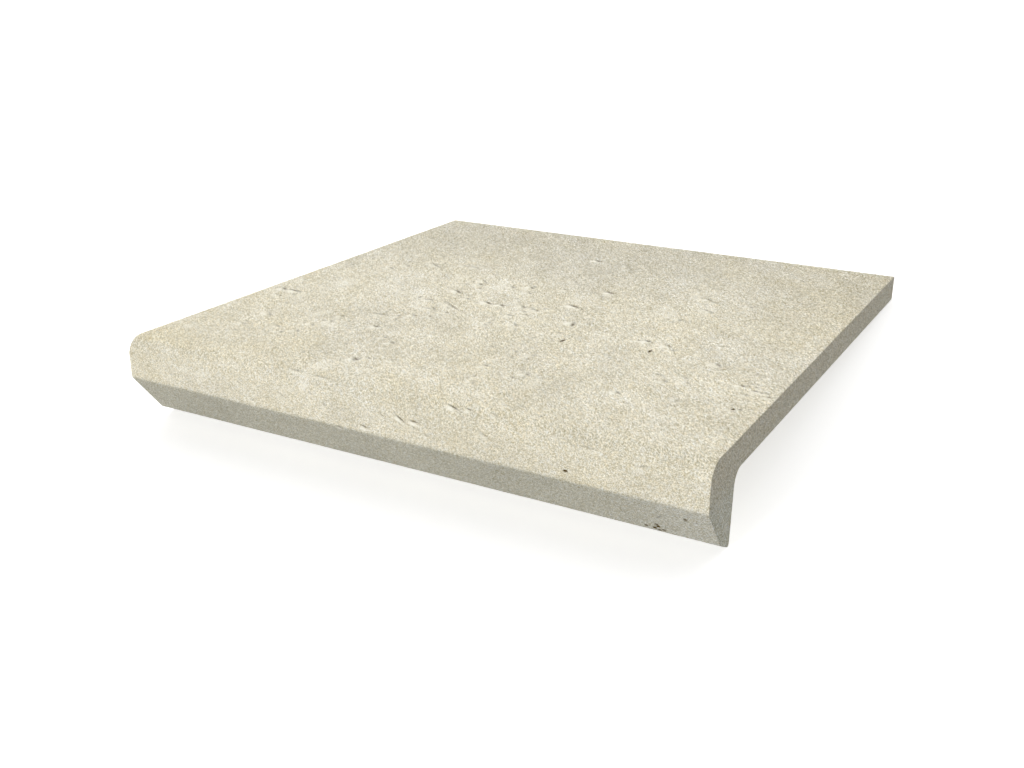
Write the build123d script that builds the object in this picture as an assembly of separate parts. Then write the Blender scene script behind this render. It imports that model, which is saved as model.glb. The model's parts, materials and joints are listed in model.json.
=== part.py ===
from build123d import *

import math
import os

# Stair nosing tile: one pressed and fired stoneware piece.
# A flat square tread turns down at the front into a thick nose, which covers
# the edge of a step. The nose has a rounded bend, a short upright front, a
# chamfer that runs back under it and a drip edge at its lowest point.
# Sizes are in millimetres and degrees. The tile is drawn as it is laid, with
# the tread level, and is then tipped to the way it lies on a floor.

# Whole tile
TILE_WIDTH = 330.0
TILE_DEPTH = 330.0
TREAD_THICKNESS = 15.0

# Nose section, measured from the tread face and the upright front, with the
# drip edge and the inner corner taken before they are rounded
NOSE_HEIGHT = 51.0
NOSE_THICKNESS = 31.0
FRONT_HEIGHT = 22.2
LAND_DEPTH = 10.6
LAND_RISE = 5.5
INNER_DRAFT = 3.0

# Rounds along the width
BEND_RADIUS = 9.5
CHAMFER_ROUND = 3.5
LAND_ROUND = 4.5
DRIP_ROUND = 1.6
INNER_RADIUS = 7.5
BACK_TOP_ROUND = 0.8
BACK_FOOT_ROUND = 1.0

# Worn-off sharpness round the two end faces
END_ROUND = 0.6

# Keying grooves that the die leaves in the underside for the bedding mortar
GROOVE_WIDTH = 6.0
GROOVE_DEPTH = 1.0
GROOVE_PITCH = 14.0
GROOVE_END_MARGIN = 14.0
GROOVE_BACK_MARGIN = 14.0
GROOVE_NOSE_MARGIN = 8.0

# Corners of the section, Y back from the upright front and Z up from the tread
underside = -TREAD_THICKNESS
inner_y = NOSE_THICKNESS
drip_y = inner_y - (NOSE_HEIGHT - TREAD_THICKNESS) * math.tan(math.radians(INNER_DRAFT))

back_top = (TILE_DEPTH, 0)
bend = (0, 0)
chamfer_top = (0, -FRONT_HEIGHT)
drip_edge = (drip_y, -NOSE_HEIGHT)
inner_corner = (inner_y, underside)
back_foot = (TILE_DEPTH, underside)

# A narrow land slopes forward and up from the drip edge to meet the chamfer
land_top = (drip_y - LAND_DEPTH, -NOSE_HEIGHT + LAND_RISE)

corners = [back_top, bend, chamfer_top, land_top, drip_edge, inner_corner, back_foot]
rounds = [
    BACK_TOP_ROUND,
    BEND_RADIUS,
    CHAMFER_ROUND,
    LAND_ROUND,
    DRIP_ROUND,
    INNER_RADIUS,
    BACK_FOOT_ROUND,
]


def round_centre(index):
    """Centre of the round at one corner of the section, as (y, z)."""
    corner = Vector(*corners[index])
    to_last = (Vector(*corners[index - 1]) - corner).normalized()
    to_next = (Vector(*corners[(index + 1) % len(corners)]) - corner).normalized()
    half_angle = math.radians(to_last.get_angle(to_next) / 2)
    return corner + (to_last + to_next).normalized() * (rounds[index] / math.sin(half_angle))


# The section, carried along the whole width
outline = FilletPolyline(*corners, radius=rounds, close=True)
section = Plane.YZ * make_face(outline)
tile = extrude(section, amount=TILE_WIDTH / 2, both=True)

# Sharpness taken off round both end faces
half_width = TILE_WIDTH / 2
left_edges = tile.edges().filter_by_position(Axis.X, -half_width, -half_width)
right_edges = tile.edges().filter_by_position(Axis.X, half_width, half_width)
tile = fillet(left_edges + right_edges, END_ROUND)

# Keying grooves across the underside, stopped short of both end faces
groove_length = TILE_WIDTH - 2 * GROOVE_END_MARGIN
first_y = inner_y + INNER_RADIUS + GROOVE_NOSE_MARGIN + GROOVE_WIDTH / 2
last_y = TILE_DEPTH - GROOVE_BACK_MARGIN - GROOVE_WIDTH / 2
groove_steps = max(0, math.floor((last_y - first_y) / GROOVE_PITCH))
spare = last_y - first_y - groove_steps * GROOVE_PITCH
groove_shape = SlotOverall(groove_length, GROOVE_WIDTH)
grooves = []
for step in range(groove_steps + 1):
    groove_y = first_y + spare / 2 + step * GROOVE_PITCH
    grooves.append(Pos(0, groove_y, underside) * extrude(groove_shape, amount=GROOVE_DEPTH))
tile = tile - grooves

# Off the step the tile lies on its drip edge and the lower back edge, so the
# tread slopes down towards the back. The slope is that of the line under the
# two rounds.
drip_centre = round_centre(corners.index(drip_edge))
foot_centre = round_centre(corners.index(back_foot))
span = foot_centre - drip_centre
centre_slope = math.degrees(math.atan2(span.Y, span.X))
round_slope = math.degrees(math.asin((BACK_FOOT_ROUND - DRIP_ROUND) / span.length))
rest_tilt = centre_slope - round_slope
tile = Rot(-rest_tilt, 0, 0) * tile

# Origin at the middle of the footprint, lowest point on the floor
box = tile.bounding_box()
tile = Pos(-box.center().X, -box.center().Y, -box.min.Z) * tile
tile.label = "stair_nosing_tile"

os.makedirs("parts", exist_ok=True)
export_step(tile, "parts/stair_nosing_tile.step")

size = tile.bounding_box().size
print("solids", len(tile.solids()), "valid", tile.is_valid)
print("rest tilt", round(rest_tilt, 3), "degrees, grooves", len(grooves))
print("size", round(size.X, 2), round(size.Y, 2), round(size.Z, 2))
print("volume", round(tile.volume / 1000, 1), "cm3")
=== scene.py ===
# %% [markdown]
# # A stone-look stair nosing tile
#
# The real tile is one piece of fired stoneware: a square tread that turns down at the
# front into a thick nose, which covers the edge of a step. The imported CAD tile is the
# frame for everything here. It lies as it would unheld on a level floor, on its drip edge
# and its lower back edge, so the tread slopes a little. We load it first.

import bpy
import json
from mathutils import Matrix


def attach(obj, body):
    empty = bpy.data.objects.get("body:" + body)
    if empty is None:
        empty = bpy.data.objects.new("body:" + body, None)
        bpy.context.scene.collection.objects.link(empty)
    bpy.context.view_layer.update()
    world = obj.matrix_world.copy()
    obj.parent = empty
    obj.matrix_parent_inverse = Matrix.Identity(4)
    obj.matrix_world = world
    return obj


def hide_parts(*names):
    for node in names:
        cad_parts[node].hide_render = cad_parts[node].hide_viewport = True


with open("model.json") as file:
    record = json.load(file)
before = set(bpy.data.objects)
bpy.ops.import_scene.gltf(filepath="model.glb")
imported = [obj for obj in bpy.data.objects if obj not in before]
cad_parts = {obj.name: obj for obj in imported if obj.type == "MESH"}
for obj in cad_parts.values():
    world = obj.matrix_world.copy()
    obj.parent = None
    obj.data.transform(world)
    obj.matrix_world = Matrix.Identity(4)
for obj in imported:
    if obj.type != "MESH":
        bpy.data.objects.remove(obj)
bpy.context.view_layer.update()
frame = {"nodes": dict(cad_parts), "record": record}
cad_tile = frame["nodes"]["stair_nosing_tile"]

# %% [markdown]
# ## A level work frame
#
# Shapes and patterns are easier to think about with the tread level, so the tile is built
# in its own frame: X along the nose, Y back from the upright front, Z up from the tread.
# The tilt could be typed in, but the frame already knows it: the bedding face under the
# tread gives the direction, and the levelled CAD points give the front and the top.

# %% Find how the tile lies
import math
import numpy as np
from mathutils import Matrix, Vector

mounts = {mount["name"]: mount for mount in frame["record"]["mounts"]}
tread_up = -Vector(mounts["bedding_face"]["axis"])
rest_tilt = math.atan2(tread_up.y, tread_up.z)

cad_points = np.array([vertex.co for vertex in cad_tile.data.vertices])
levelled = cad_points @ np.array(Matrix.Rotation(rest_tilt, 3, "X")).T
half_width = float(levelled[:, 0].max())
tile_origin = Vector((0.0, levelled[:, 1].min(), levelled[:, 2].max()))
levelled = levelled - np.array(tile_origin)
tile_depth = float(levelled[:, 1].max())

tile_to_row = Matrix.Rotation(-rest_tilt, 4, "X") @ Matrix.Translation(tile_origin)
level_to_row = tile_to_row.to_3x3()
tilt_degrees = round(math.degrees(rest_tilt), 2)
print("tilt", tilt_degrees, "width", round(2 * half_width, 4), "depth", round(tile_depth, 4))

# %% [markdown]
# ## The camera
#
# The view is the first thing to settle, because every later choice is judged through it.
# A camera can be aimed with a target, or placed from its own three axes. The tile's
# straight edges give those axes exactly, so the camera is set from them in the tile's
# level frame and then carried over to the floor with the tile.

# %% Place the camera
import bpy

scene = bpy.context.scene
CAMERA_PLACE = Vector((0.30268, -0.40700, 0.19536))
CAMERA_RIGHT = Vector((0.869930, 0.493175, 0.000338))
CAMERA_UP = Vector((-0.175032, 0.308102, 0.935111))
FOCAL_PIXELS = 1149.73
IMAGE_WIDTH = 1024
SENSOR_WIDTH = 36.0

camera_data = bpy.data.cameras.new("camera")
camera_data.sensor_fit = "HORIZONTAL"
camera_data.sensor_width = SENSOR_WIDTH
camera_data.lens = FOCAL_PIXELS / IMAGE_WIDTH * SENSOR_WIDTH
camera_data.clip_start = 0.01
camera = bpy.data.objects.new("camera", camera_data)
scene.collection.objects.link(camera)

camera_back = CAMERA_RIGHT.cross(CAMERA_UP)
camera_axes = Matrix((CAMERA_RIGHT, CAMERA_UP, camera_back)).transposed().to_4x4()
camera.matrix_world = tile_to_row @ Matrix.Translation(CAMERA_PLACE) @ camera_axes
scene.camera = camera
camera_spot = [round(v, 3) for v in camera.matrix_world.translation]
print("lens", round(camera_data.lens, 2), "mm, camera at", camera_spot)

# %% [markdown]
# ## The section of the nose
#
# Everything that makes this tile a nosing is in its section: the rounded bend, the short
# upright front, the chamfer that runs back under it, the narrow land and the drip edge.
# The outline is given as corners with a radius each, as on a die maker's drawing, and is
# walked round with points. Each point keeps the outward direction, so that the same walk
# can be drawn a little smaller at the ends of the tile. The face of the tile is walked in
# fine steps because it carries relief, and the hidden faces in coarse ones.

# %% Set out the corners of the section
FINE_STEP = 0.0020
ROUND_STEP = 0.0012
COARSE_STEP = 0.012
TREAD_THICKNESS = 0.015
NOSE_HEIGHT = 0.051
INNER_TOP = 0.031
INNER_DRAFT = math.radians(3.0)
DRIP_Y = INNER_TOP - (NOSE_HEIGHT - TREAD_THICKNESS) * math.tan(INNER_DRAFT)

# name, y, z, radius of the round, whether the round and the run after it are face
SECTION = [
    ("back top edge", tile_depth, 0.0, 0.0008, True, True),
    ("bend", 0.0, 0.0, 0.0095, True, True),
    ("chamfer top", 0.0, -0.0222, 0.0035, True, True),
    ("land", DRIP_Y - 0.0106, -0.0455, 0.0045, True, True),
    ("drip edge", DRIP_Y, -NOSE_HEIGHT, 0.0016, True, False),
    ("inner corner", INNER_TOP, -TREAD_THICKNESS, 0.0075, False, False),
    ("back foot", tile_depth, -TREAD_THICKNESS, 0.0010, False, False),
]
print("section corners", [name for name, *_ in SECTION])

# %% Walk round the section
def corner_round(index):
    """Centre, radius, first angle, turn and sign of the outward side of one round."""
    corner = Vector(SECTION[index][1:3])
    to_last = (Vector(SECTION[index - 1][1:3]) - corner).normalized()
    to_next = (Vector(SECTION[(index + 1) % len(SECTION)][1:3]) - corner).normalized()
    half = to_last.angle(to_next) / 2
    radius = SECTION[index][3]
    centre = corner + (to_last + to_next).normalized() * radius / math.sin(half)
    ends = [corner + way * radius / math.tan(half) - centre for way in (to_last, to_next)]
    first, last = (math.atan2(end.y, end.x) for end in ends)
    turn = (last - first + math.pi) % (2 * math.pi) - math.pi
    return centre, radius, first, turn, math.copysign(1.0, turn)


def walk_section():
    """Rows of y, z, outward y, outward z and whether the point is on the face."""
    rows = []
    for index, (_, _, _, _, round_is_face, run_is_face) in enumerate(SECTION):
        centre, radius, first, turn, side = corner_round(index)
        pieces = max(4, math.ceil(radius * abs(turn) / ROUND_STEP))
        for piece in range(pieces + 1):
            angle = first + turn * piece / pieces
            way = Vector((math.cos(angle), math.sin(angle)))
            place = centre + way * radius
            rows.append((place.x, place.y, side * way.x, side * way.y, round_is_face))
        next_centre, next_radius, next_first, _, _ = corner_round((index + 1) % len(SECTION))
        start = Vector(rows[-1][:2])
        end = next_centre + next_radius * Vector((math.cos(next_first), math.sin(next_first)))
        step = FINE_STEP if run_is_face else COARSE_STEP
        cuts = max(1, round((end - start).length / step))
        for cut in range(1, cuts):
            place = start.lerp(end, cut / cuts)
            rows.append((place.x, place.y, rows[-1][2], rows[-1][3], run_is_face))
    return rows


section = walk_section()
face_rows = sum(row[4] for row in section)
print("section points", len(section), "of which", face_rows, "are on the face")

# %% [markdown]
# ## The swept body
#
# The section is the same all along the width, so the body is a sweep of it. An extrude
# would do for the shape, but relief needs a fine net of faces, so the net is laid out by
# hand: many stations along the width on the face, and every fourth of them on the hidden
# sides, where one many-sided face takes up the difference. At both ends the last stations
# draw the section in by the end round, and one flat face closes each end. Every face is
# marked as pressed face or raw side. Both finishes are hung on the net at once, still
# empty, because the cut in the next step keeps the marks only where the finishes exist.

# %% Lay out the stations along the width
END_ROUND = 0.0002
COARSE_EVERY = 4

left_end = [
    (-half_width + END_ROUND * (1 - math.sin(angle)), END_ROUND * (1 - math.cos(angle)), True)
    for angle in (math.radians(90), math.radians(60), math.radians(30))
]
straight = 2 * (half_width - END_ROUND)
cells = COARSE_EVERY * round(straight / FINE_STEP / COARSE_EVERY)
middle = [(straight * (i / cells - 0.5), 0.0, i % COARSE_EVERY == 0) for i in range(cells + 1)]
right_end = [(-x, inset, True) for x, inset, _ in reversed(left_end)]
stations = left_end + middle + right_end
print("stations", len(stations))

# %% Sweep the section
FACE, BODY = 0, 1


def sweep_body():
    """Corner points, faces and the finish of each face, as one closed net."""
    places, ids, faces, finishes = [], {}, [], []
    for i, (x, inset, coarse) in enumerate(stations):
        for j, (y, z, out_y, out_z, is_face) in enumerate(section):
            if is_face or coarse:
                ids[i, j] = len(places)
                places.append((x, y - inset * out_y, z - inset * out_z))

    def add(corners, finish):
        faces.append([ids[corner] for corner in corners])
        finishes.append(finish)

    last = len(section) - 1
    for i in range(len(stations) - 1):
        for j in range(face_rows - 1):
            add([(i, j), (i, j + 1), (i + 1, j + 1), (i + 1, j)], FACE)
    coarse_ids = [i for i, station in enumerate(stations) if station[2]]
    for a, b in zip(coarse_ids, coarse_ids[1:]):
        between = range(b, a - 1, -1)
        add([(a, face_rows), (b, face_rows)] + [(i, face_rows - 1) for i in between], BODY)
        for j in range(face_rows, last):
            add([(a, j), (a, j + 1), (b, j + 1), (b, j)], BODY)
        add([(a, last)] + [(i, 0) for i in reversed(between)] + [(b, last)], BODY)
    for i in (0, len(stations) - 1):
        add([(i, j) for j in range(len(section))], BODY)
    return places, faces, finishes


places, faces, finishes = sweep_body()
body_mesh = bpy.data.meshes.new("stoneware_tile")
body_mesh.from_pydata(places, [], faces)
body_mesh.polygons.foreach_set("material_index", finishes)
for name in ("stone_look_face", "raw_side"):
    body_mesh.materials.append(bpy.data.materials.new(name))
tile = bpy.data.objects.new("stoneware_tile", body_mesh)
scene.collection.objects.link(tile)
print("swept net", len(places), "points", len(faces), "faces")

# %% [markdown]
# ## Keying grooves
#
# Under the tread the die leaves shallow grooves that the bedding mortar grips. They stop
# short of both ends, so they never show once the tile is laid. A boolean cut is the plain
# way to make them: one cutter with a rounded slot for each groove. The CAD points on the
# groove floors say where each slot is, so nothing has to be typed in twice.

# %% Read the grooves from the CAD points
GROOVE_DEPTH = 0.001

on_floor = np.abs(levelled[:, 2] + TREAD_THICKNESS - GROOVE_DEPTH) < 1e-4
under_tread = (levelled[:, 1] > INNER_TOP) & (levelled[:, 1] < tile_depth - 0.005)
floor_points = levelled[on_floor & under_tread]
floor_points = floor_points[np.argsort(floor_points[:, 1])]
gaps = np.where(np.diff(floor_points[:, 1]) > 0.004)[0] + 1
groove_groups = np.split(floor_points, gaps)
print("grooves", len(groove_groups))

# %% Shape the cutter
import bmesh

SLOT_ARC = 10


def slot_outline(group):
    """Points round a slot with half-round ends, from the points of one groove floor."""
    low, high = group.min(axis=0), group.max(axis=0)
    radius = (high[1] - low[1]) / 2
    centre_y = (high[1] + low[1]) / 2
    outline = []
    for end, start in ((high[0] - radius, -math.pi / 2), (low[0] + radius, math.pi / 2)):
        for k in range(SLOT_ARC + 1):
            angle = start + math.pi * k / SLOT_ARC
            outline.append((end + radius * math.cos(angle), centre_y + radius * math.sin(angle)))
    return outline


cutter_net = bmesh.new()
for group in groove_groups:
    outline = slot_outline(group)
    low_ring = [cutter_net.verts.new((x, y, -TREAD_THICKNESS - GROOVE_DEPTH)) for x, y in outline]
    base = cutter_net.faces.new(low_ring)
    raised = bmesh.ops.extrude_face_region(cutter_net, geom=[base])
    top_ring = [item for item in raised["geom"] if isinstance(item, bmesh.types.BMVert)]
    bmesh.ops.translate(cutter_net, verts=top_ring, vec=(0, 0, 2 * GROOVE_DEPTH))
bmesh.ops.recalc_face_normals(cutter_net, faces=cutter_net.faces)
for slot_face in cutter_net.faces:
    slot_face.material_index = BODY
cutter_mesh = bpy.data.meshes.new("groove_cutter")
cutter_net.to_mesh(cutter_mesh)
cutter_net.free()
for material in body_mesh.materials:
    cutter_mesh.materials.append(material)
cutter = bpy.data.objects.new("groove_cutter", cutter_mesh)
scene.collection.objects.link(cutter)
print("cutter faces", len(cutter_mesh.polygons))

# %% Cut the grooves
body_net = bmesh.new()
body_net.from_mesh(body_mesh)
bmesh.ops.recalc_face_normals(body_net, faces=body_net.faces)
body_net.to_mesh(body_mesh)
body_net.free()
cut = tile.modifiers.new("keying grooves", "BOOLEAN")
cut.operation = "DIFFERENCE"
cut.solver = "EXACT"
cut.object = cutter
dressed = tile.evaluated_get(bpy.context.evaluated_depsgraph_get())
cut_mesh = bpy.data.meshes.new_from_object(dressed)
tile.modifiers.clear()
tile.data = cut_mesh
bpy.data.objects.remove(cutter)
bpy.data.meshes.remove(cutter_mesh)
bpy.data.meshes.remove(body_mesh)
raw_faces = sum(polygon.material_index == BODY for polygon in cut_mesh.polygons)
print("cut net", len(cut_mesh.polygons), "faces", raw_faces, "of them raw")

# %% [markdown]
# ## Where the stone look has its scars
#
# The face is pressed from a mould taken off split stone, so it carries small flakes with a
# dark slit behind a pale edge, and a few brown pits. The large ones are listed, and
# smaller ones are strewn by a seeded draw. Each flake is a short ridge with a hollow behind
# it. Bump could fake that, but real relief also shows from other sides.
# The dark of each slit is painted shade, and the pale of its edge painted highlight.

# %% List the scars
MM = 0.001

# x, y, z, half length in mm, the way it runs in degrees, and how strong it is
FLAKES = [
    (-79.4, 216.7, 0, 2.4, 5, 0.45), (-58.6, 163.6, 0, 3.9, -39, 0.8), (-56.1, 190.6, 0, 3.9, -49, 0.5),
    (-54.8, 183.8, 0, 1.9, -47, 0.7), (-45.8, 153.5, 0, 1.9, -32, 0.55), (-45.2, 135.3, 0, 7.4, -34, 0.5),
    (-30.7, 151.7, 0, 3.3, -33, 0.9), (-21.1, 151.6, 0, 2.1, -39, 0.9), (-34.4, 187.9, 0, 2.1, -31, 0.6),
    (-23.6, 192.9, 0, 2, -42, 0.95), (-19.1, 181.8, 0, 1.9, -46, 0.6), (-8.6, 155.1, 0, 2.6, -39, 0.6),
    (-1.2, 153.6, 0, 1.6, 1, 0.5), (5.1, 157.2, 0, 1.4, 30, 0.4), (-7.3, 136.8, 0, 2, -5, 0.6),
    (3.8, 123.1, 0, 3.1, -45, 0.5), (-10.3, 115.1, 0, 1.7, -36, 0.45), (-15.9, 271.1, 0, 2.4, -30, 0.85),
    (8, 266.3, 0, 1.2, -25, 0.5), (-5.7, 217.1, 0, 2.9, -50, 0.4), (23.3, 206.5, 0, 3, -16, 0.95),
    (16.4, 170.4, 0, 4.2, -22, 0.9), (31, 139.4, 0, 3.1, -74, 0.9), (74.5, 173.6, 0, 0.8, -13, 0.5),
    (80.2, 222.1, 0, 2.1, -26, 0.85), (85.5, 218.3, 0, 1.8, -1, 0.45), (86.5, 201.1, 0, 1.5, -29, 0.6),
    (106.8, 219.8, 0, 1.6, -46, 0.5), (67.1, 239.2, 0, 2, -31, 0.4), (48, 56.3, 0, 1.6, -39, 0.6),
    (37, 82.9, 0, 2.1, -38, 0.4), (25.6, 69.4, 0, 0.8, -30, 0.45), (60.2, 5.3, -1, 1.7, -21, 0.35),
    (79.4, 11.9, 0, 0.8, -41, 0.5), (79.6, 132.7, 0, 2.1, -23, 0.85), (91.7, 131, 0, 2.7, -33, 0.6),
    (125.3, 115.5, 0, 3.2, -52, 0.5), (96.8, 55.8, 0, 1.7, -41, 0.55), (106.4, 87.9, 0, 0.8, 70, 0.35),
    (117.6, 90.2, 0, 2.4, -45, 0.3), (145.2, 93.4, 0, 1.8, -39, 0.8), (153.1, 89.4, 0, 1.5, -6, 0.55),
    (156.4, 89.1, 0, 1.3, -25, 0.5), (163.1, 77.1, 0, 1.5, -12, 0.35), (148.8, 98, 0, 0.8, -33, 0.45),
    (-38.9, 33.6, 0, 2.1, -26, 0.95), (-33.7, 37.3, 0, 0.8, -22, 0.6), (-37.1, 63.2, 0, 1.4, -30, 0.7),
    (11.8, 0, -10.6, 2.2, -31, 0.95), (19.5, 0, -10.8, 1.9, -6, 0.95), (38.3, 4.8, -1.2, 2.6, -18, 0.9),
    (46.4, 5.4, -1, 1.1, -10, 0.8), (0.8, 0, -10.9, 1.2, -27, 0.4), (-9.5, 0, -19.1, 1.6, -10, 0.75),
    (-24.8, 0.4, -22.5, 1.2, -4, 0.6), (57.5, 0, -9.3, 1.9, -25, 0.4), (31, 32.9, 0, 0.9, -7, 0.45),
    (26, 0, -16.2, 0.8, -29, 0.5), (79.2, 7.4, -0.2, 0.8, -28, 0.4), (101.7, 1, -5.3, 0.9, -5, 0.35),
    (-72.6, 101.7, 0, 4.4, 5, 0.4), (-61.4, 82.6, 0, 1.9, 2, 0.8), (-89.1, 78, 0, 0.9, -23, 0.7),
    (-54.6, 110, 0, 2.2, -26, 0.55), (-45.5, 113.1, 0, 0.9, -33, 0.8), (-52.2, 126.2, 0, 3.1, -36, 0.5),
    (-157.3, 181.3, 0, 1.2, -2, 0.5), (-64, 140.2, 0, 2.4, -11, 0.5), (-119.7, 198.4, 0, 3.4, -34, 0.4),
    (-104, 208.2, 0, 5.5, -33, 0.45), (-155, 115.9, 0, 2.2, -30, 0.85), (-146.4, 115.8, 0, 4, -7, 0.8),
    (-128, 71.6, 0, 4.5, -47, 0.5), (-129.1, 50.5, 0, 2.5, -21, 0.35), (-109.2, 56.2, 0, 2.9, -22, 0.35),
    (-156.9, 138.7, 0, 1.3, -32, 0.4), (-54.9, 6.3, -0.6, 3.2, 0, 0.5), (-37, 5.6, -0.8, 5.6, 0, 0.35),
    (109.5, 1.2, -4.9, 3.6, 0, 0.3), (134, 0.2, -7.5, 2, 10, 0.35),
]

# the same for the brown pits
PITS = [
    (39.6, 111.3, 0, 1.5, 79, 1.), (86.8, 118.6, 0, 1.4, 87, 0.8), (98.8, 0, -17.4, 0.7, 2, 1.),
    (151.4, 62.9, 0, 0.6, 30, 0.8), (154.4, 63.9, 0, 0.6, -10, 0.5), (134.8, 16.9, -43.5, 0.7, 50, 1.),
    (137, 15.5, -41.8, 0.8, 48, 1.), (136.6, 14.4, -40.4, 0.5, 48, 0.7), (130.9, 16.7, -43.3, 0.6, 47, 0.6),
    (139.6, 8.8, -33.5, 3.2, 52, 0.35), (136.9, 17.6, -44.5, 0.6, 40, 0.6),
    (139.1, 17.2, -43.9, 0.7, 50, 0.55), (152.6, 6.4, -30.4, 0.6, 49, 0.6), (157.6, 7, -31.2, 0.6, 50, 0.4),
    (145.3, 15.4, -41.6, 0.6, 45, 0.3), (121.6, 11.3, -36.6, 0.6, 48, 0.3),
    (129.8, 13.3, -39.1, 0.6, 48, 0.3), (133.5, 9.5, -34.4, 0.5, 50, 0.4),
]
print("flakes", len(FLAKES), "pits", len(PITS))

# %% Strew smaller flakes
import random

MAIN_WAY = -30
SEED = 61
KEEP_OFF_ENDS = 163

strew = random.Random(SEED)
large_ones = [flake for flake in FLAKES if flake[1] > 25]
for x, y, *_ in large_ones + large_ones:
    FLAKES.append((x + strew.gauss(0, 6), y + strew.gauss(0, 8), 0, strew.uniform(0.7, 1.8),
                   MAIN_WAY + strew.gauss(0, 22), strew.uniform(0.2, 0.6)))
for _ in range(50):
    FLAKES.append((strew.uniform(-160, 160), strew.uniform(12, 322), 0, strew.uniform(0.7, 1.7),
                   MAIN_WAY + strew.gauss(0, 18), strew.uniform(0.2, 0.45)))
for _ in range(16):
    FLAKES.append((strew.uniform(-160, 160), 0, strew.uniform(-20, -8), strew.uniform(0.5, 1.2),
                   MAIN_WAY + strew.gauss(0, 18), strew.uniform(0.2, 0.45)))
FLAKES = [flake for flake in FLAKES if abs(flake[0]) < KEEP_OFF_ENDS]
print("flakes with the strewn ones", len(FLAKES))

# %% [markdown]
# ## A finer net round each scar
#
# A flake is about a millimetre across, which is less than the faces of the net. Making the
# whole net fine enough would waste most of it, so only the faces round each scar are
# divided, and those round the pits and the clear slits of the nose once more. Edges that
# should stay crisp, at the ends and in the grooves, are marked first, while the net is
# still plain.

# %% Divide the faces round the scars
from mathutils import kdtree

CRISP_ANGLE = math.radians(40)
SCAR_CUTS, FINEST_CUTS = 3, 1
MANY_SIDED = 30
NOSE_DEPTH = 9.0
CLEAR_STRENGTH = 0.5

net = bmesh.new()
net.from_mesh(cut_mesh)
for edge in net.edges:
    edge.smooth = edge.calc_face_angle(0.0) < CRISP_ANGLE
for net_face in net.faces:
    net_face.smooth = len(net_face.verts) < MANY_SIDED


def divide_near(centres, cuts):
    """Divides the face-side faces whose middle is near one of the centres."""
    face_list = [f for f in net.faces if f.material_index == FACE]
    tree = kdtree.KDTree(len(face_list))
    for index, f in enumerate(face_list):
        tree.insert(f.calc_center_median(), index)
    tree.balance()
    chosen = set()
    for place, reach in centres:
        for _, index, _ in tree.find_range(place, reach):
            chosen.update(face_list[index].edges)
    bmesh.ops.subdivide_edges(net, edges=list(chosen), cuts=cuts, use_grid_fill=True)


scar_reach = [(Vector(flake[:3]) * MM, (flake[3] * 1.2 + 2.0) * MM) for flake in FLAKES]
scar_reach += [(Vector(pit[:3]) * MM, (pit[3] * 1.3 + 1.0) * MM) for pit in PITS]
divide_near(scar_reach, SCAR_CUTS)
finest = [flake for flake in FLAKES if flake[1] < NOSE_DEPTH and flake[5] > CLEAR_STRENGTH]
finest = PITS + finest
divide_near([(Vector(scar[:3]) * MM, (scar[3] * 1.3 + 0.6) * MM) for scar in finest], FINEST_CUTS)
net.normal_update()
print("net with scars", len(net.verts), "points", len(net.faces), "faces")

# %% [markdown]
# ## Pressing the relief
#
# Every point of the face moves along its own outward direction. A slow, very low swell
# keeps the tread from being a perfect plane, a finer one nibbles the edges, and then each
# scar adds its own ridge or pit. Masks are kept on the points for the finish to read: the
# dark slits, which are painted shade, the pale lips, which are painted highlight, and the
# brown pits, and after them the patches, the smudges and the slow changes of tone. Of
# those changes, the darkening towards the back, at the back right, on the upright front
# and from the chamfer down is painted shade.

# %% Swell the face
from mathutils import noise

SWELL, SWELL_WAVES = 0.00005, 45
NIBBLE, NIBBLE_WAVES = 0.00006, 330

on_face = np.array([all(f.material_index == FACE for f in v.link_faces) for v in net.verts])
points = np.array([v.co for v in net.verts])
outward = np.array([v.normal for v in net.verts])
lift = np.zeros(len(points))
for index in np.where(on_face)[0]:
    place = Vector(points[index])
    lift[index] += SWELL * noise.noise(place * SWELL_WAVES)
    lift[index] += NIBBLE * noise.noise(place * NIBBLE_WAVES)
print("swell", round(1000 * lift.min(), 3), "to", round(1000 * lift.max(), 3), "mm")

# %% Find the way round one scar
point_tree = kdtree.KDTree(len(points))
for index, place in enumerate(points):
    point_tree.insert(place, index)
point_tree.balance()
ALONG_NOSE = Vector((1, 0, 0))


def across_scar(scar, half_breadth, reach):
    """Points near a scar, and how far they are along and across it, in its own half sizes."""
    x, y, z, half_length, way = scar[:5]
    middle_point, index, _ = point_tree.find(Vector((x, y, z)) * MM)
    normal = Vector(outward[index]).normalized()
    up_face = normal.cross(ALONG_NOSE).normalized()
    along = math.cos(math.radians(way)) * ALONG_NOSE + math.sin(math.radians(way)) * up_face
    near = [i for _, i, _ in point_tree.find_range(middle_point, reach * MM) if on_face[i]]
    offset = (points[near] - np.array(middle_point)) / MM
    across = normal.cross(along)
    return near, offset @ np.array(along) / half_length, offset @ np.array(across) / half_breadth


near, u, v = across_scar(FLAKES[0], 1.0, 4.0)
print("points at the first flake", len(near))

# %% Press the flakes and pits
RIDGE_RISE, GROOVE_FALL, PIT_DEPTH = 0.16, 0.30, 0.35
slit, stain, lip_highlights_and_patches = (np.zeros(len(points)) for _ in range(3))

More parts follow.
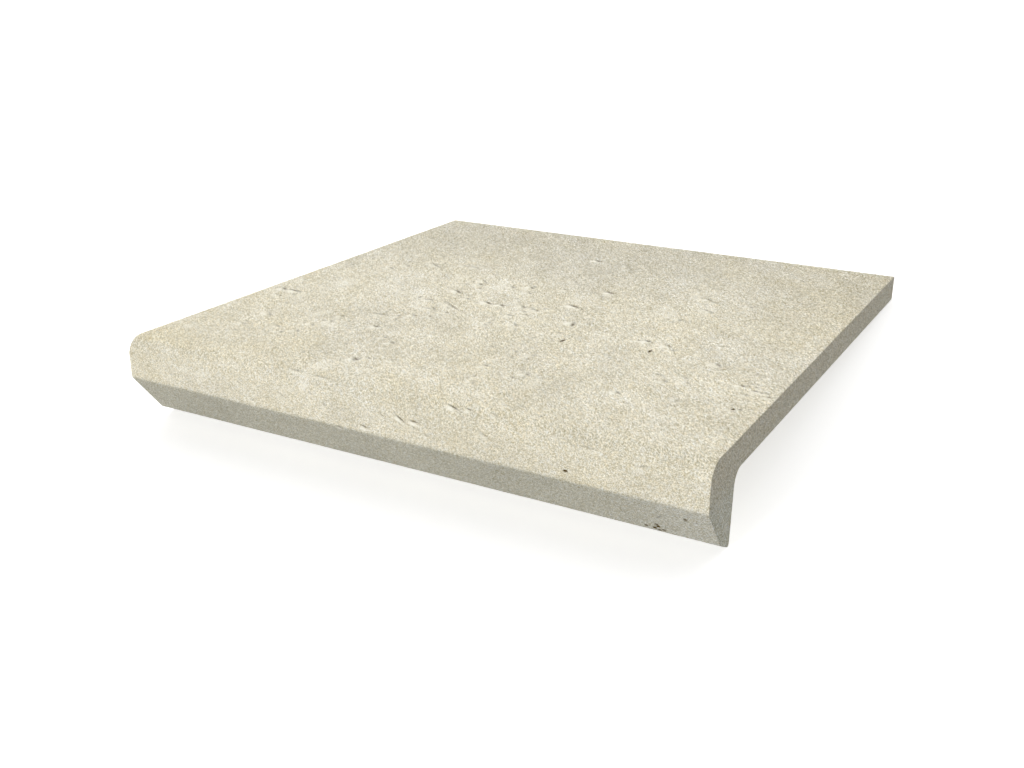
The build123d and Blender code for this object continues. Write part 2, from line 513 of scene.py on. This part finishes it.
for flake in FLAKES:
    half_breadth, longer = (1.2, 1.0) if flake[1] > NOSE_DEPTH else (0.52, 1.25)
    strength = min(1.0, 1.15 * flake[5])
    scar = (*flake[:3], longer * flake[3], flake[4])
    near, u, v = across_scar(scar, half_breadth, 2.2 * flake[3] + 4)
    groove = np.exp(-u * u - 1.6 * (v - 0.5) ** 2)
    lip = np.exp(-((u + 0.2) ** 2) - 0.25 * (v + 2.4) ** 2)
    lift[near] += strength * half_breadth * MM * (RIDGE_RISE * lip - GROOVE_FALL * groove)
    # painted shade: the slit mask darkens the groove
    slit[near] = np.maximum(slit[near], strength * groove)
    # painted highlight: the lip mask lightens the ridge in front of the groove
    lip_highlights_and_patches[near] = np.maximum(lip_highlights_and_patches[near], strength * lip)

for pit in PITS:
    if pit[2] == 0:
        half_breadth, longer = 0.68, 1.25
    elif pit[1] == 0:
        half_breadth, longer = 0.45, 1.4
    else:
        half_breadth, longer = (0.80, 1.2) if pit[5] > 0.5 else (0.45, 0.6)
    strength = min(1.0, 1.3 * pit[5])
    near, u, v = across_scar((*pit[:3], longer * pit[3], pit[4]), half_breadth, 2 * pit[3] + 3)
    hollow = np.exp(-(u * u + v * v) ** 1.5)
    lift[near] -= PIT_DEPTH * strength * MM * hollow
    stain[near] = np.maximum(stain[near], strength * np.clip(2.5 * hollow, 0, 1))
print("relief", round(1000 * lift.min(), 2), "to", round(1000 * lift.max(), 2), "mm")

# %% Mark the pale patches
PATCH_STRENGTH = 0.38

# x, y, z, half width and half depth in mm
PALE_PATCHES = [
    (-126, 0, -11, 3, 1.7), (-115, 0, -12, 4.4, 1.7), (-91, 3, -3, 2.5, 1.6), (-151, 33, 0, 2.8, 5.6),
    (-84, 71, 0, 3.3, 5.5), (-49, 20, 0, 4, 6.1), (-48, 5, -1, 5.1, 2.3), (-55, 0, -8, 4.5, 1.5),
    (-47, 1, -5, 3.6, 1.6), (-131, 145, 0, 5, 9.4), (-103, 89, 0, 2.9, 4.9), (-47, 78, 0, 2.7, 4.4),
    (-65, 134, 0, 3, 5.2), (-87, 143, 0, 2.4, 4.4), (-74, 189, 0, 3.2, 7.2), (-56, 181, 0, 2.5, 4.6),
    (-24, 149, 0, 2.3, 5.1), (-25, 190, 0, 2.5, 4.5), (-21, 180, 0, 3, 4.3), (-43, 185, 0, 4.9, 11.4),
    (4, 151, 0, 2.3, 3.9), (12, 181, 0, 3.6, 4.2), (22, 202, 0, 2.4, 4.3), (72, 180, 0, 2, 5.8),
    (65, 190, 0, 1.7, 8), (88, 205, 0, 2.9, 5), (70, 230, 0, 3.6, 5.5), (115, 175, 0, 2.2, 3.6),
    (56, 48, 0, 2.9, 6.9), (78, 129, 0, 2.1, 3.3), (90, 127, 0, 2.6, 3.3), (143, 90, 0, 2.4, 3.4),
    (151, 59, 0, 2.3, 2.4), (-156, 111, 0, 2.4, 5.6), (-137, 109, 0, 3, 4.4), (-105, 86, 0, 3.4, 7.9),
    (-89, 74, 0, 3.3, 5.6), (-39, 29, 0, 2.5, 3.8),
]

# the pale patches are the decor's own colour; they share the mask of the painted lip highlight
for patch in PALE_PATCHES:
    near, u, v = across_scar((*patch[:4], 0), patch[4], 2.2 * max(patch[3:]))
    lip_highlights_and_patches[near] = np.maximum(lip_highlights_and_patches[near], PATCH_STRENGTH * np.exp(-u * u - v * v))
print("pale patches", len(PALE_PATCHES))

# %% Lay the smudges along the decor
DECOR_WAY = -52

# x, y, half length in mm, and tone: paler above 0, greyer below
SMUDGES = [
    (-76, 151, 12, 0.8), (-7, 32, 8, 0.7), (87, 208, 7, 0.6), (-46, 15, 8, 0.6), (-43, 184, 9, 0.7),
    (-130, 143, 9, 0.6), (-32, 177, 7, 0.5), (116, 147, 9, 0.6), (-72, 275, 8, 0.6), (-50, 243, 8, 0.6),
    (102, 52, 11, 0.6), (67, 186, 7, 0.5), (28, 24, 7, 0.5), (42, 21, 8, 0.5), (59, 225, 8, 0.5),
    (-48, 3, 8, 0.5), (-47, 200, 7, 0.5), (-98, 184, 7, 0.5), (106, 300, 9, 0.5), (50, 255, 10, 0.5),
    (-94, 226, 7, 0.5), (89, 230, 7, 0.5), (136, 77, 8, 0.5), (-66, 134, 6, 0.5), (-100, 158, 30, 0.3),
    (-58, 165, 6, -0.7), (-83, 189, 8, -0.8), (-146, 292, 9, -0.6), (61, 291, 7, -0.6), (31, 141, 7, -0.6),
    (144, 301, 9, -0.6), (7, 268, 7, -0.5), (-136, 324, 9, -0.5), (-75, 220, 6, -0.5), (3, 317, 8, -0.5),
    (28, 277, 7, -0.5), (161, 206, 9, -0.5), (-41, 35, 7, -0.5), (-18, 127, 8, -0.5), (-105, 287, 8, -0.5),
    (-126, 16, 7, -0.4), (-64, 78, 8, -0.4), (-98, 206, 6, -0.4), (-151, 114, 7, -0.4),
    (160, 258, 11, -0.5), (10, 89, 9, -0.4), (-14, 212, 8, -0.4), (-129, 78, 9, -0.3), (54, 66, 8, -0.3),
    (-138, 218, 8, -0.4),
]
smudge = np.zeros(len(points))
for x, y, half_length, tone in SMUDGES:
    place = (x, y, 0, half_length, DECOR_WAY)
    near, u, v = across_scar(place, 0.6 * half_length, 2 * half_length)
    smudge[near] += tone * np.exp(-u * u - v * v)
pale, grey = np.clip(smudge, 0, 1), np.clip(-smudge, 0, 1)
print("smudges", len(SMUDGES))

# %% Mark the slow changes of tone
def rising(values, low, high):
    """A smooth step from 0 at low to 1 at high."""
    share = np.clip((values - low) / (high - low), 0, 1)
    return share * share * (3 - 2 * share)


# painted shade: the tread is darkened towards the back, where the light falls off
shade_behind = rising(points[:, 1], 0.16, 0.31)
on_tread = rising(points[:, 2], -0.0025, -0.0002)
upright = 1 - on_tread
# painted shade: darker and a little browner at the back right and at the left of the upright
# front; yellower at the left front of the tread and at the right of the upright front
corner_shade = rising(points[:, 0], 0.08, 0.16) * rising(points[:, 1], 0.11, 0.20)
corner_shade = np.maximum(corner_shade, 0.5 * upright * rising(-points[:, 0], 0.09, 0.15))
yellow = rising(-points[:, 0], 0.08, 0.16) * rising(-points[:, 1], -0.04, -0.005)
yellow = on_tread * np.maximum(yellow, 0.15 * rising(-points[:, 1], -0.09, -0.05))
yellow = np.maximum(yellow, 0.4 * upright * rising(points[:, 0], 0.03, 0.11))
# painted shade: darker and greyer from the chamfer down, cooler and lighter towards the right end
raw = rising(-points[:, 2], 0.0205, 0.0235)
cool = rising(points[:, 0], 0.10, 0.158)
far = np.clip(points[:, 1] / tile_depth, 0, 1)
print("points on the tread", int((on_tread > 0.5).sum()), "on chamfer shade", int((raw > 0.5).sum()))

# %% Press the points and keep the masks
moved = points + outward * lift[:, None]
for vertex, place in zip(net.verts, moved):
    vertex.co = place
net.to_mesh(cut_mesh)
net.free()
marks = {
    "slit": slit, "lip": lip_highlights_and_patches, "stain": stain, "pale": pale, "grey": grey, "shade_behind": shade_behind,
    "corner_shade": corner_shade, "yellow": yellow, "upright": upright, "raw": raw, "cool": cool, "far": far,
}
for name, values in marks.items():
    mask = cut_mesh.attributes.new(name, "FLOAT", "POINT")
    mask.data.foreach_set("value", values.astype(np.float32))
cut_mesh.calc_loop_triangles()
print("triangles", len(cut_mesh.loop_triangles))

# %% [markdown]
# ## Grain, shared by face and body
#
# Fired stoneware is a packed sand: grains of about a third of a millimetre, each a little
# lighter or darker, warmer or greyer than its neighbour, and they gather in loose clumps. A
# noise alone looks like fog at that scale, so cells with one tone each are mixed with a
# noise a few grains wide. It is a node group, because the face and the raw sides both use
# it, each with its own grain size. A stretch draws the grains out along the decor.

# %% Helpers for node trees
def new_group(name, inputs, outputs):
    """An empty shader node group with named float sockets."""
    group = bpy.data.node_groups.new(name, "ShaderNodeTree")
    for label, default in inputs:
        socket = group.interface.new_socket(label, in_out="INPUT", socket_type="NodeSocketFloat")
        socket.default_value = default
    for label in outputs:
        group.interface.new_socket(label, in_out="OUTPUT", socket_type="NodeSocketFloat")
    return group, group.nodes.new("NodeGroupInput"), group.nodes.new("NodeGroupOutput")


def math_node(tree, operation, first, second):
    """A math node whose inputs are sockets or plain numbers; gives its output socket."""
    node = tree.nodes.new("ShaderNodeMath")
    node.operation = operation
    for socket, value in zip(node.inputs, (first, second)):
        if isinstance(value, (int, float)):
            socket.default_value = value
        else:
            tree.links.new(value, socket)
    return node.outputs[0]


def noise_node(tree, place, scale, detail, roughness):
    """A 3D noise at a scale that is a socket; gives its value socket."""
    node = tree.nodes.new("ShaderNodeTexNoise")
    node.inputs["Detail"].default_value = detail
    node.inputs["Roughness"].default_value = roughness
    tree.links.new(scale, node.inputs["Scale"])
    tree.links.new(place, node.inputs["Vector"])
    return node.outputs["Fac"]


def dot_node(tree, place, way):
    """The dot product of a vector socket with a fixed direction; gives its value socket."""
    node = tree.nodes.new("ShaderNodeVectorMath")
    node.operation = "DOT_PRODUCT"
    tree.links.new(place, node.inputs[0])
    node.inputs[1].default_value = way
    return node.outputs["Value"]


def range_node(tree, value, low, high):
    """A step from 0 at low to 1 at high; gives its value socket."""
    node = tree.nodes.new("ShaderNodeMapRange")
    node.inputs["From Min"].default_value = low
    node.inputs["From Max"].default_value = high
    tree.links.new(value, node.inputs["Value"])
    return node.outputs["Result"]


def around_half(tree, value, share):
    """How far a value is from a half, times a share; gives its output socket."""
    return math_node(tree, "MULTIPLY", math_node(tree, "SUBTRACT", value, 0.5), share)


print("node helpers", [f.__name__ for f in (math_node, noise_node, dot_node, range_node, around_half)])

# %% Draw patterns out along the decor
STREAK = math.radians(DECOR_WAY)
STREAK_WAY = level_to_row @ Vector((math.cos(STREAK), math.sin(STREAK), 0.0))


def drawn_out(tree, stretch):
    """Object coordinates on which patterns come out longer along the decor, by a socket's value."""
    place = tree.nodes.new("ShaderNodeTexCoord").outputs["Object"]
    along = dot_node(tree, place, STREAK_WAY)
    shrink = math_node(tree, "SUBTRACT", math_node(tree, "DIVIDE", 1.0, stretch), 1.0)
    back = tree.nodes.new("ShaderNodeVectorMath")
    back.operation = "SCALE"
    back.inputs[0].default_value = STREAK_WAY
    tree.links.new(math_node(tree, "MULTIPLY", along, shrink), back.inputs["Scale"])
    total = tree.nodes.new("ShaderNodeVectorMath")
    tree.links.new(place, total.inputs[0])
    tree.links.new(back.outputs[0], total.inputs[1])
    return total.outputs[0]


print("decor runs along", [round(v, 3) for v in STREAK_WAY])

# %% Build the grain group
CELL_SWING, CLUMP_SWING = 0.8, 0.06
CELL_WARMTH, CLUMP_WARMTH = 0.2, 1.6
FLECK_RARITY, FLECK_SIZE = 0.985, 0.22

grain, grain_in, grain_out = new_group(
    "fired grain", [("Grains per metre", 1900.0), ("Stretch", 1.0)], ["Tone", "Warmth", "Fleck", "Height"])
grain_scale = grain_in.outputs["Grains per metre"]
grain_place = drawn_out(grain, grain_in.outputs["Stretch"])
grain_cells = grain.nodes.new("ShaderNodeTexVoronoi")
grain.links.new(grain_place, grain_cells.inputs["Vector"])
grain.links.new(grain_scale, grain_cells.inputs["Scale"])
cell_tone = grain.nodes.new("ShaderNodeSeparateColor")
grain.links.new(grain_cells.outputs["Color"], cell_tone.inputs["Color"])
clump_scale = math_node(grain, "MULTIPLY", grain_scale, 0.36)
warm_scale = math_node(grain, "MULTIPLY", grain_scale, 0.27)
clumps = noise_node(grain, grain_place, clump_scale, 2.0, 0.8)
warm_clumps = noise_node(grain, grain_place, warm_scale, 2.0, 0.8)

cells_part = around_half(grain, cell_tone.outputs["Red"], CELL_SWING)
clumps_part = around_half(grain, clumps, CLUMP_SWING)
tone = math_node(grain, "ADD", math_node(grain, "ADD", cells_part, clumps_part), 0.5)
grain.links.new(tone, grain_out.inputs["Tone"])
cell_warmth = around_half(grain, cell_tone.outputs["Green"], CELL_WARMTH)
clump_warmth = around_half(grain, warm_clumps, CLUMP_WARMTH)
warmth = math_node(grain, "ADD", math_node(grain, "ADD", cell_warmth, clump_warmth), 0.5)
grain.links.new(warmth, grain_out.inputs["Warmth"])
fleck_cells = grain.nodes.new("ShaderNodeTexVoronoi")
grain.links.new(grain_place, fleck_cells.inputs["Vector"])
grain.links.new(math_node(grain, "MULTIPLY", grain_scale, 0.22), fleck_cells.inputs["Scale"])
fleck_draw = grain.nodes.new("ShaderNodeSeparateColor")
grain.links.new(fleck_cells.outputs["Color"], fleck_draw.inputs["Color"])
chosen = math_node(grain, "GREATER_THAN", fleck_draw.outputs["Blue"], FLECK_RARITY)
small = math_node(grain, "LESS_THAN", fleck_cells.outputs["Distance"], FLECK_SIZE)
grain.links.new(math_node(grain, "MULTIPLY", chosen, small), grain_out.inputs["Fleck"])
nearness = math_node(grain, "SUBTRACT", 1.0, grain_cells.outputs["Distance"])
domes = math_node(grain, "MULTIPLY", nearness, 0.7)
hills = math_node(grain, "MULTIPLY", clumps, 0.20)
grain.links.new(math_node(grain, "ADD", domes, hills), grain_out.inputs["Height"])
print("grain group", [item.name for item in grain.interface.items_tree])

# %% [markdown]
# ## Clouding of the face
#
# Over the sand lies a slow change of colour, as in limestone: warmer and greyer clouds a
# few centimetres across. The clouds are noises of different size. They only have to be
# faint, because the eye finds even a small change over a large plain surface.

# %% Build the clouding group
clouding, clouding_in, clouding_out = new_group(
    "stone clouding", [("Clouds per metre", 28.0), ("Stretch", 1.0)], ["Warm", "Grey", "Pale"])
cloud_scale = clouding_in.outputs["Clouds per metre"]
cloud_place = drawn_out(clouding, clouding_in.outputs["Stretch"])
for label, share in (("Warm", 1.0), ("Grey", 0.7), ("Pale", 1.9)):
    own_scale = math_node(clouding, "MULTIPLY", cloud_scale, share)
    cloud = noise_node(clouding, cloud_place, own_scale, 5.0, 0.68)
    clouding.links.new(range_node(clouding, cloud, 0.38, 0.64), clouding_out.inputs[label])
print("clouding group", [item.name for item in clouding.interface.items_tree])

# %% [markdown]
# ## The two finishes
#
# The face and the raw sides are the same clay, so both finishes start from the same sand
# and clouds. The face adds pale patches, smudges, slits and brown pits, which the masks
# place. The dark of the slits is painted shade and the pale of their lips painted
# highlight, and from the chamfer down the face is painted darker and greyer, as shade; it
# is also painted darker towards the back, at the back right and on the upright front. Its
# grain swings more towards the back, so that it holds its own where it is seen smaller.
# The raw sides are painted lighter low down, as if lit from the table, and darker where
# they face back into the glow, as shade. Each is one Principled shader: a dry, dull
# surface with almost no gloss, and a bump no deeper than a grain.

# %% Helpers for the finishes
def mix_colour(tree, blend, factor, first, second):
    """A colour mix whose factor and colours are sockets or plain values; gives its output."""
    node = tree.nodes.new("ShaderNodeMix")
    node.data_type = "RGBA"
    node.blend_type = blend
    node.clamp_result = False
    sockets = {"Factor": node.inputs[0], "A": node.inputs[6], "B": node.inputs[7]}
    for label, value in (("Factor", factor), ("A", first), ("B", second)):
        if isinstance(value, bpy.types.NodeSocket):
            tree.links.new(value, sockets[label])
        elif label == "Factor":
            sockets[label].default_value = value
        else:
            sockets[label].default_value = (*value, 1.0)
    return node.outputs[2]


def place_group(tree, group, **values):
    """One copy of a node group in a material, with its own values."""
    node = tree.nodes.new("ShaderNodeGroup")
    node.node_tree = group
    for label, value in values.items():
        node.inputs[label.replace("_", " ")].default_value = value
    return node


def dull_shader(material):
    """Gives a material a dull Principled shader; gives its node tree and the shader."""
    material.use_nodes = True
    shader = material.node_tree.nodes["Principled BSDF"]
    shader.inputs["Specular IOR Level"].default_value = 0.08
    return material.node_tree, shader


def grain_bump(tree, shader, height, distance, strength):
    """Feeds a height to the shader's normal through a bump of real depth."""
    bump = tree.nodes.new("ShaderNodeBump")
    bump.inputs["Distance"].default_value = distance
    bump.inputs["Strength"].default_value = strength
    tree.links.new(height, bump.inputs["Height"])
    tree.links.new(bump.outputs["Normal"], shader.inputs["Normal"])


print("finish helpers", [f.__name__ for f in (mix_colour, place_group, dull_shader, grain_bump)])

# %% Choose the colours of the clay, and of the painted light and shade
CREAM = (0.743, 0.692, 0.538)
WARM_CREAM = (0.739, 0.677, 0.508)
GREY_CREAM = (0.641, 0.601, 0.482)
PALE_CREAM = (0.832, 0.795, 0.674)
# painted highlight for the flake lips; the pale patches use it as well
LIP_HIGHLIGHT_AND_PATCH_CREAM = (0.960, 0.930, 0.815)
# painted shade for the back of the tread
BACK_PAINTED_SHADE = (0.866, 0.868, 0.874)
# painted shade for the back right and the left of the upright front
CORNER_PAINTED_SHADE = (0.93, 0.92, 0.89)
YELLOW_SHADE = (0.99, 0.97, 0.91)
# painted shade for the upright faces
UPRIGHT_PAINTED_SHADE = (0.990, 0.993, 1.004)
# painted shade: the darker, greyer colours from the chamfer down
CHAMFER_SHADE_CLAY = (0.556, 0.535, 0.437)
CHAMFER_SHADE_GREY = (0.509, 0.491, 0.402)
CHAMFER_SHADE_COOL = (0.595, 0.578, 0.491)
# painted shade for the slits; the grain's dark flecks use the same grey
SLIT_SHADE_AND_FLECK_GREY = (0.150, 0.124, 0.070)
PIT_BROWN = (0.075, 0.044, 0.003)
GRAIN_SWING = (0.517, 0.569, 0.747)
WARM_GRAIN, COOL_GRAIN = (1.05, 1.00, 0.885), (0.95, 1.00, 1.115)
FLECK_SHARE = 0.45
print("cream", CREAM, "and chamfer shade", CHAMFER_SHADE_CLAY)

# %% Helpers that lay grain over a colour
def swing(share):
    """The darkest and the lightest grain as colours, at a share of the full swing."""
    return [tuple(1 + side * share * part for part in GRAIN_SWING) for side in (-1, 1)]


def grain_over(tree, grains, colour, dark, light):
    """Lays the grain's tone and warmth over a colour."""
    tones = mix_colour(tree, "MIX", grains.outputs["Tone"], dark, light)
    tints = mix_colour(tree, "MIX", grains.outputs["Warmth"], COOL_GRAIN, WARM_GRAIN)
    return mix_colour(tree, "MULTIPLY", 1.0, mix_colour(tree, "MULTIPLY", 1.0, colour, tones), tints)


def dry_roughness(tree, shader, grains, smooth, rough):
    """Makes light grains a little smoother than dark ones."""
    dryness = tree.nodes.new("ShaderNodeMapRange")
    dryness.inputs["To Min"].default_value = rough
    dryness.inputs["To Max"].default_value = smooth
    tree.links.new(grains.outputs["Tone"], dryness.inputs["Value"])
    tree.links.new(dryness.outputs["Result"], shader.inputs["Roughness"])


print("darkest and lightest grain", [[round(v, 3) for v in tone] for tone in swing(1.0)])

# %% Read the masks into the face finish
face_finish, body_finish = cut_mesh.materials
tree, shader = dull_shader(face_finish)
grains = place_group(tree, grain, Grains_per_metre=3100.0, Stretch=3.0)
clouds = place_group(tree, clouding, Clouds_per_metre=28.0, Stretch=2.0)
masks = {}
for label in marks:
    mask_node = tree.nodes.new("ShaderNodeAttribute")
    mask_node.attribute_name = label
    masks[label] = mask_node.outputs["Fac"]
print("masks", len(masks))

# %% Mix the face finish
colour = mix_colour(tree, "MIX", clouds.outputs["Warm"], CREAM, WARM_CREAM)
colour = mix_colour(tree, "MIX", masks["grey"], colour, GREY_CREAM)
light_grey = math_node(tree, "MULTIPLY", clouds.outputs["Grey"], 0.85)
colour = mix_colour(tree, "MIX", light_grey, colour, GREY_CREAM)
light_pale = math_node(tree, "MULTIPLY", clouds.outputs["Pale"], 0.50)
colour = mix_colour(tree, "MIX", light_pale, colour, PALE_CREAM)
colour = mix_colour(tree, "MIX", masks["pale"], colour, PALE_CREAM)
# painted shade: darker towards the back of the tread
colour = mix_colour(tree, "MULTIPLY", masks["shade_behind"], colour, BACK_PAINTED_SHADE)
# painted shade: darker and a little browner at the back right and the left of the upright front
colour = mix_colour(tree, "MULTIPLY", masks["corner_shade"], colour, CORNER_PAINTED_SHADE)
colour = mix_colour(tree, "MULTIPLY", masks["yellow"], colour, YELLOW_SHADE)
# painted shade: the upright faces are made a touch darker and cooler than the tread
colour = mix_colour(tree, "MULTIPLY", masks["upright"], colour, UPRIGHT_PAINTED_SHADE)
# painted shade: from the chamfer down the face takes a darker, greyer colour
chamfer_shade_tone = mix_colour(tree, "MIX", clouds.outputs["Grey"], CHAMFER_SHADE_CLAY, CHAMFER_SHADE_GREY)
chamfer_shade_tone = mix_colour(tree, "MIX", masks["cool"], chamfer_shade_tone, CHAMFER_SHADE_COOL)
colour = mix_colour(tree, "MIX", masks["raw"], colour, chamfer_shade_tone)
NEAR_SWING, FAR_SWING, CHAMFER_SWING = 0.87, 1.34, 0.96
ends = []
for near_end, far_end, chamfer_end in zip(swing(NEAR_SWING), swing(FAR_SWING), swing(CHAMFER_SWING)):
    tread_end = mix_colour(tree, "MIX", masks["far"], near_end, far_end)
    ends.append(mix_colour(tree, "MIX", masks["raw"], tread_end, chamfer_end))
colour = grain_over(tree, grains, colour, *ends)
faint_fleck = math_node(tree, "MULTIPLY", grains.outputs["Fleck"], FLECK_SHARE)
colour = mix_colour(tree, "MIX", faint_fleck, colour, SLIT_SHADE_AND_FLECK_GREY)
# painted highlight on the flake lips, and the pale patches in the decor's own colour
colour = mix_colour(tree, "MIX", masks["lip"], colour, LIP_HIGHLIGHT_AND_PATCH_CREAM)
# painted shade in the slits
colour = mix_colour(tree, "MIX", masks["slit"], colour, SLIT_SHADE_AND_FLECK_GREY)
colour = mix_colour(tree, "MIX", masks["stain"], colour, PIT_BROWN)
tree.links.new(colour, shader.inputs["Base Color"])
dry_roughness(tree, shader, grains, 0.74, 0.92)
grain_bump(tree, shader, grains.outputs["Height"], 0.0003, 0.50)
print("face finish nodes", len(tree.nodes))

# %% Mix the finish of the raw sides
END_UPPER = (0.668, 0.628, 0.506)
# painted light: a lighter, cooler colour low on the raw sides, as if lit from the table
END_LOWER_PAINTED_LIGHT = (0.672, 0.660, 0.552)
# painted shade for the raw sides that face back
BACK_EDGE_PAINTED_SHADE = (0.78, 0.78, 0.81)
CLOUD_SHADE = (0.92, 0.92, 0.92)
BODY_SWING = 1.15
tread_back = level_to_row @ Vector((0, 1, 0))

tree, shader = dull_shader(body_finish)
grains = place_group(tree, grain, Grains_per_metre=2300.0)
clouds = place_group(tree, clouding, Clouds_per_metre=40.0)
height = dot_node(tree, tree.nodes.new("ShaderNodeTexCoord").outputs["Object"], tread_up)
# painted light: the lower raw sides take the lighter colour, as if lit from the table
below = range_node(tree, height, tile_origin.z - 0.012, tile_origin.z - 0.026)
colour = mix_colour(tree, "MIX", below, END_UPPER, END_LOWER_PAINTED_LIGHT)
# painted shade: raw sides that face back, into the glow, are painted about a fifth darker
facing = dot_node(tree, tree.nodes.new("ShaderNodeNewGeometry").outputs["Normal"], tread_back)
colour = mix_colour(tree, "MULTIPLY", range_node(tree, facing, 0.3, 0.9), colour, BACK_EDGE_PAINTED_SHADE)
light_grey = math_node(tree, "MULTIPLY", clouds.outputs["Grey"], 0.5)
colour = mix_colour(tree, "MULTIPLY", light_grey, colour, CLOUD_SHADE)
colour = grain_over(tree, grains, colour, *swing(BODY_SWING))
faint_fleck = math_node(tree, "MULTIPLY", grains.outputs["Fleck"], FLECK_SHARE)
colour = mix_colour(tree, "MIX", faint_fleck, colour, SLIT_SHADE_AND_FLECK_GREY)
tree.links.new(colour, shader.inputs["Base Color"])
dry_roughness(tree, shader, grains, 0.82, 0.95)
grain_bump(tree, shader, grains.outputs["Height"], 0.0002, 0.60)
print("finishes", [material.name for material in cut_mesh.materials])

# %% [markdown]
# ## Seating the tile on its frame
#
# The tile was built level. Now its points take the tilt of the CAD tile, while the object
# itself stays at the origin, as the CAD tile's object does. It stands for the one CAD node
# and rides on the row's only body.

# %% Seat the tile
cut_mesh.transform(tile_to_row)
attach(tile, "root")
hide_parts("stair_nosing_tile")
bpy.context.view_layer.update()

# %% [markdown]
# ## A white table
#
# A pale table and soft studio light leave the tile to speak for itself. Product tables are
# often lit from below, so that they stay white and hold only a faint shadow; here that is a
# little emission. The table is kept out of the diffuse light that reaches the tile, because
# the light round the tile is set on its own in the next step.

# %% Lay the table
TABLE_SIZE = 10.0

table_net = bmesh.new()
bmesh.ops.create_grid(table_net, x_segments=8, y_segments=8, size=TABLE_SIZE / 2)
table_mesh = bpy.data.meshes.new("pale_floor")
table_net.to_mesh(table_mesh)
table_net.free()
table = bpy.data.objects.new("pale_floor", table_mesh)
scene.collection.objects.link(table)

table_finish = bpy.data.materials.new("pale_floor")
tree, shader = dull_shader(table_finish)
shader.inputs["Base Color"].default_value = (0.82, 0.82, 0.82, 1.0)
shader.inputs["Roughness"].default_value = 0.95
shader.inputs["Emission Color"].default_value = (1.0, 1.0, 1.0, 1.0)
shader.inputs["Emission Strength"].default_value = 0.55
table_mesh.materials.append(table_finish)
table.visible_diffuse = False
print("table", TABLE_SIZE, "m")

# %% [markdown]
# ## Studio light
#
# The tread, the bend and the upright front of the tile show almost one tone, while the
# chamfer and the end are clearly darker. One lamp can't do that: it would make the bend
# the brightest place. Two sources can. A wide glow from above and behind lights the tread,
# a lamp standing low in front lights the upright face, and on the bend the one fades out as
# the other comes in. Almost nothing lights from below, so the chamfer and the end stay in
# shade. The chamfer's colour is painted darker as well, and the lower part of the end is
# painted lighter, as if lit from the table.

# %% Set the low front lamp
KEY_WAY = Vector((-0.2388, -0.9654, 0.1045))
KEY_DISTANCE = 6.0
KEY_SIZE = 1.5
KEY_LEVEL = 0.905

key_data = bpy.data.lights.new("key_lamp", "AREA")
key_data.shape = "SQUARE"
key_data.size = KEY_SIZE
key_data.energy = KEY_LEVEL * (math.pi * KEY_DISTANCE) ** 2
key_lamp = bpy.data.objects.new("key_lamp", key_data)
scene.collection.objects.link(key_lamp)
tile_middle = tile_to_row @ Vector((0.0, tile_depth / 2, 0.0))
key_way = (level_to_row @ KEY_WAY).normalized()
key_lamp.location = tile_middle + key_way * KEY_DISTANCE
key_lamp.rotation_euler = key_way.to_track_quat("Z", "Y").to_euler()
print("lamp", round(key_data.energy, 1), "W at", [round(v, 2) for v in key_lamp.location])

# %% Set the wide glow
GLOW_WAY = Vector((-0.232, 0.938, 0.256))
GLOW_LEVEL = 2.65
SHADE_LEVEL = 0.09

world = bpy.data.worlds.new("studio")
scene.world = world
world.use_nodes = True
studio = world.node_tree
way = studio.nodes.new("ShaderNodeTexCoord").outputs["Generated"]
facing = dot_node(studio, way, level_to_row @ GLOW_WAY)
glow = math_node(studio, "MULTIPLY", math_node(studio, "MAXIMUM", facing, 0.0), GLOW_LEVEL)
seen = studio.nodes.new("ShaderNodeLightPath").outputs["Is Camera Ray"]
strength = math_node(studio, "MAXIMUM", math_node(studio, "ADD", glow, SHADE_LEVEL), seen)
backdrop = studio.nodes["Background"]
backdrop.inputs["Color"].default_value = (1.0, 1.0, 1.0, 1.0)
studio.links.new(strength, backdrop.inputs["Strength"])
scene.view_settings.view_transform = "Standard"
print("glow", GLOW_LEVEL, "over shade", SHADE_LEVEL)

# %% [markdown]
#
# The dressed tile has to stay in the CAD tile's box.

# %% Load the json module
import json
